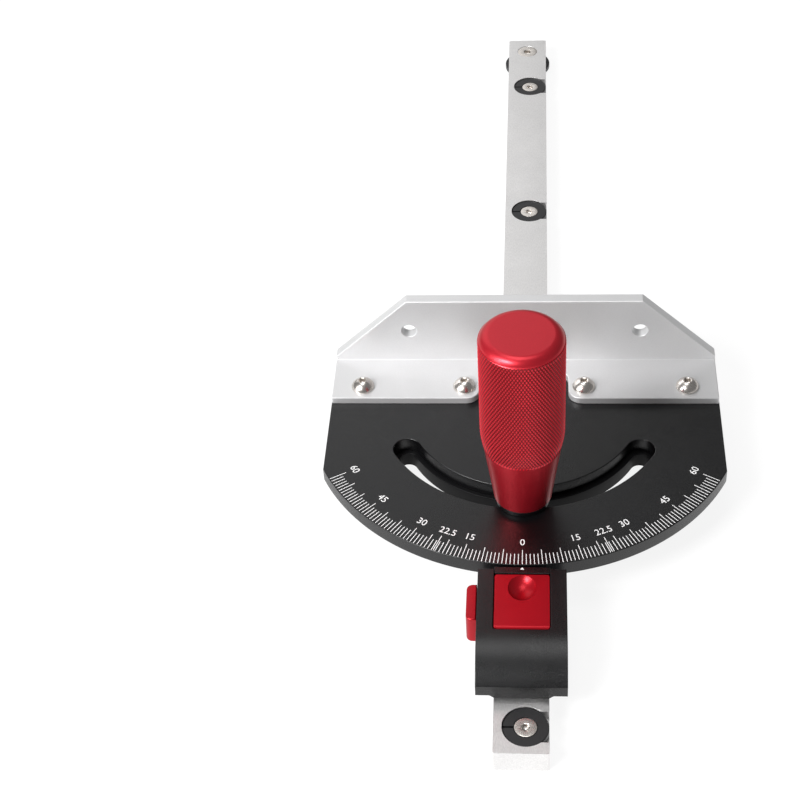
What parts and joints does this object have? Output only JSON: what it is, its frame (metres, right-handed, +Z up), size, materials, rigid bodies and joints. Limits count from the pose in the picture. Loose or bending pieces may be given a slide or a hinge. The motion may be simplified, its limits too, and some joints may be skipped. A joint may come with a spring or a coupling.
{
  "type": "mitre gauge",
  "caption": "Table-saw mitre gauge: slotted-table guide bar, swivelling protractor head with fence bracket, knurled clamp handle and index stop lever.",
  "frame": {"origin": "the head's pivot axis, at the level of the bar's underside", "axes": "+Y along the bar towards the saw blade and out of the fence face, +Z up, +X to the user's right"},
  "size_m": [0.1528, 0.4507, 0.1027],
  "materials": {
    "bar_metal": "satin ground steel",
    "black_nylon": "moulded nylon",
    "screw_steel": "stainless, polished",
    "dark_steel": "blackened steel",
    "black_anodised": "satin black anodised",
    "base_black": "satin black anodised",
    "silver_aluminium": "fine blasted, clear anodised",
    "bronze": "sintered bronze",
    "insert_brass": "turned brass",
    "grip_red": "satin red anodised, knurled",
    "lever_red": "satin red anodised"
  },
  "bodies": {
    "bar": {"miter_bar": "bar_metal", "t_slot_screw": "screw_steel", "t_slot_disc": "dark_steel", "pivot_washer": "screw_steel", "pivot_bolt": "screw_steel", "clamp_stud": "screw_steel", "pointer_block": "black_anodised", "pointer_plate": "black_anodised", "block_screw_near": "screw_steel", "block_screw_far": "screw_steel", "lever_pin": "screw_steel", "lever_spring": "screw_steel", "expansion_ring_near": "black_nylon", "expansion_screw_near": "screw_steel", "expansion_ring_hidden": "black_nylon", "expansion_screw_hidden": "screw_steel", "expansion_ring_mid": "black_nylon", "expansion_screw_mid": "screw_steel", "expansion_ring_far": "black_nylon", "expansion_screw_far": "screw_steel"},
    "head": {"scale_plate": "black_anodised", "head_base": "base_black", "pivot_bush": "bronze", "fence_bracket": "silver_aluminium", "bracket_screw_left_outer": "screw_steel", "bracket_screw_left_inner": "screw_steel", "bracket_screw_right_inner": "screw_steel", "bracket_screw_right_outer": "screw_steel", "base_screw_left_near": "screw_steel", "base_screw_left_far": "screw_steel", "base_screw_right_far": "screw_steel", "base_screw_right_near": "screw_steel"},
    "clamp": {"clamp_washer": "dark_steel"},
    "handle": {"handle_grip": "grip_red", "handle_insert": "insert_brass"},
    "lever": {"stop_lever": "lever_red", "lever_arm": "dark_steel", "index_pin": "screw_steel"},
    "lock": {"lock_slide": "dark_steel", "lock_button": "lever_red"}
  },
  "joints": [
    {"name": "head_swivel", "type": "hinge", "parent": "bar", "child": "head", "pos_m": [0, 0, 0.016], "axis": [0, 0, 1], "range_deg": [-60, 60]},
    {"name": "clamp_lift", "type": "slide", "parent": "bar", "child": "clamp", "axis": [0, 0, 1], "range_m": [0, 0.001]},
    {"name": "handle_turn", "type": "hinge", "parent": "clamp", "child": "handle", "pos_m": [0, -0.0516, 0.0243], "axis": [0, 0, 1], "range_deg": [0, 360]},
    {"name": "lever_tilt", "type": "hinge", "parent": "bar", "child": "lever", "pos_m": [0, -0.11, 0.0145], "axis": [1, 0, 0], "range_deg": [0, 4.4]},
    {"name": "lock_travel", "type": "slide", "parent": "bar", "child": "lock", "axis": [-1, 0, 0], "range_m": [0, 0.004]}
  ],
  "couplings": [
    {"joint": "clamp_lift", "follows": "handle_turn", "m_per_rad": 0.00015915},
    {"joint": "lever_tilt", "follows": "lock_travel", "rad_per_m": 19.198}
  ]
}
